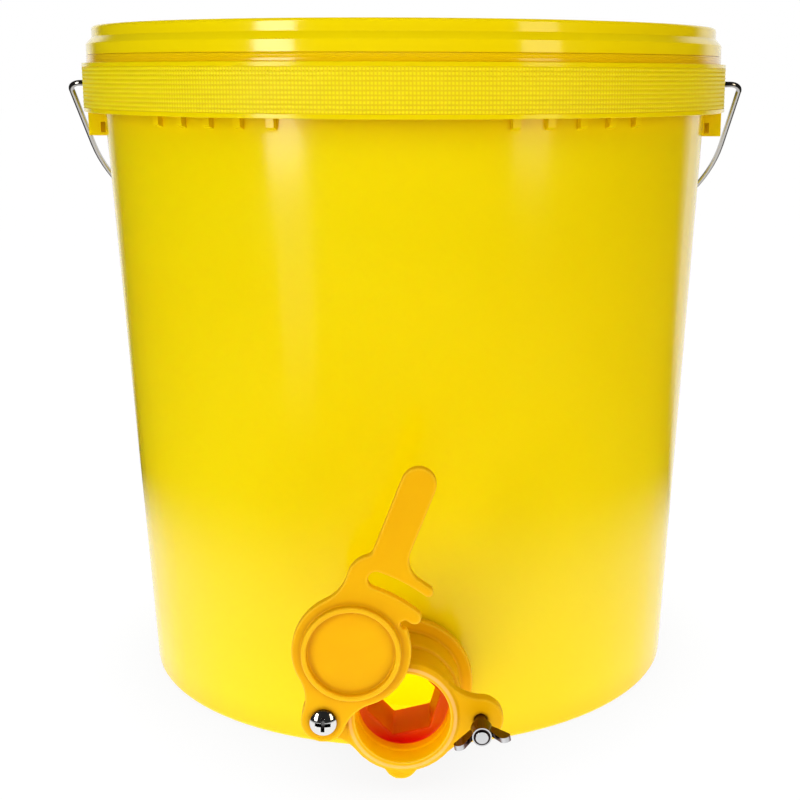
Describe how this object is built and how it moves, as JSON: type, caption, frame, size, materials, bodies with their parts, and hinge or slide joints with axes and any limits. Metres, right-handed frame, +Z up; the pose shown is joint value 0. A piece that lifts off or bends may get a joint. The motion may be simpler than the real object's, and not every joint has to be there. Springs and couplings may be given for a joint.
{
  "type": "honey bucket with gate",
  "caption": "Tapered plastic bucket with press-on lid, wire bail and a swinging lever gate low on the front wall, clamped by a wing nut, for storing and bottling honey.",
  "frame": {"origin": "centre of the tub's foot ring, on the surface that it stands on", "axes": "+Z up along the tub's axis, -Y out of the gate's mouth, +X towards the clamp bolt"},
  "size_m": [0.3802, 0.405, 0.3579],
  "materials": {
    "tub_plastic": "glossy moulded",
    "grip_plastic": "satin moulded",
    "gate_plastic": "glossy moulded",
    "gasket_rubber": "matt",
    "bail_wire": "drawn wire",
    "bright_steel": "bright plated"
  },
  "bodies": {
    "tub": {"bucket": "tub_plastic", "gate_body": "gate_plastic", "outer_gasket": "gasket_rubber", "inner_gasket": "gasket_rubber", "gate_nut": "gate_plastic", "pivot_screw": "bright_steel", "pivot_washer": "bright_steel", "pivot_nut": "bright_steel", "clamp_bolt": "bright_steel"},
    "lid": {"lid": "tub_plastic"},
    "lever": {"swing_gate": "gate_plastic"},
    "wing": {"wing_nut": "bright_steel"},
    "bail": {"bail": "bail_wire"},
    "grip": {"bail_grip": "grip_plastic"}
  },
  "joints": [
    {"name": "lid_lift", "type": "slide", "parent": "tub", "child": "lid", "axis": [0, 0, 1], "range_m": [0, 0.2]},
    {"name": "gate_swing", "type": "hinge", "parent": "tub", "child": "lever", "pos_m": [-0.03647, -0.2, 0.04159], "axis": [0, -1, 0], "range_deg": [-72.3, 109]},
    {"name": "wing_nut_turn", "type": "hinge", "parent": "tub", "child": "wing", "pos_m": [0.03647, -0.21, 0.03841], "axis": [0, -1, 0], "continuous": true},
    {"name": "bail_swing", "type": "hinge", "parent": "tub", "child": "bail", "pos_m": [0, 0, 0.3285], "axis": [1, 0, 0], "range_deg": [0, 252.5]},
    {"name": "grip_spin", "type": "hinge", "parent": "bail", "child": "grip", "pos_m": [0, 0.1716, 0.20154], "axis": [1, 0, 0], "continuous": true}
  ]
}
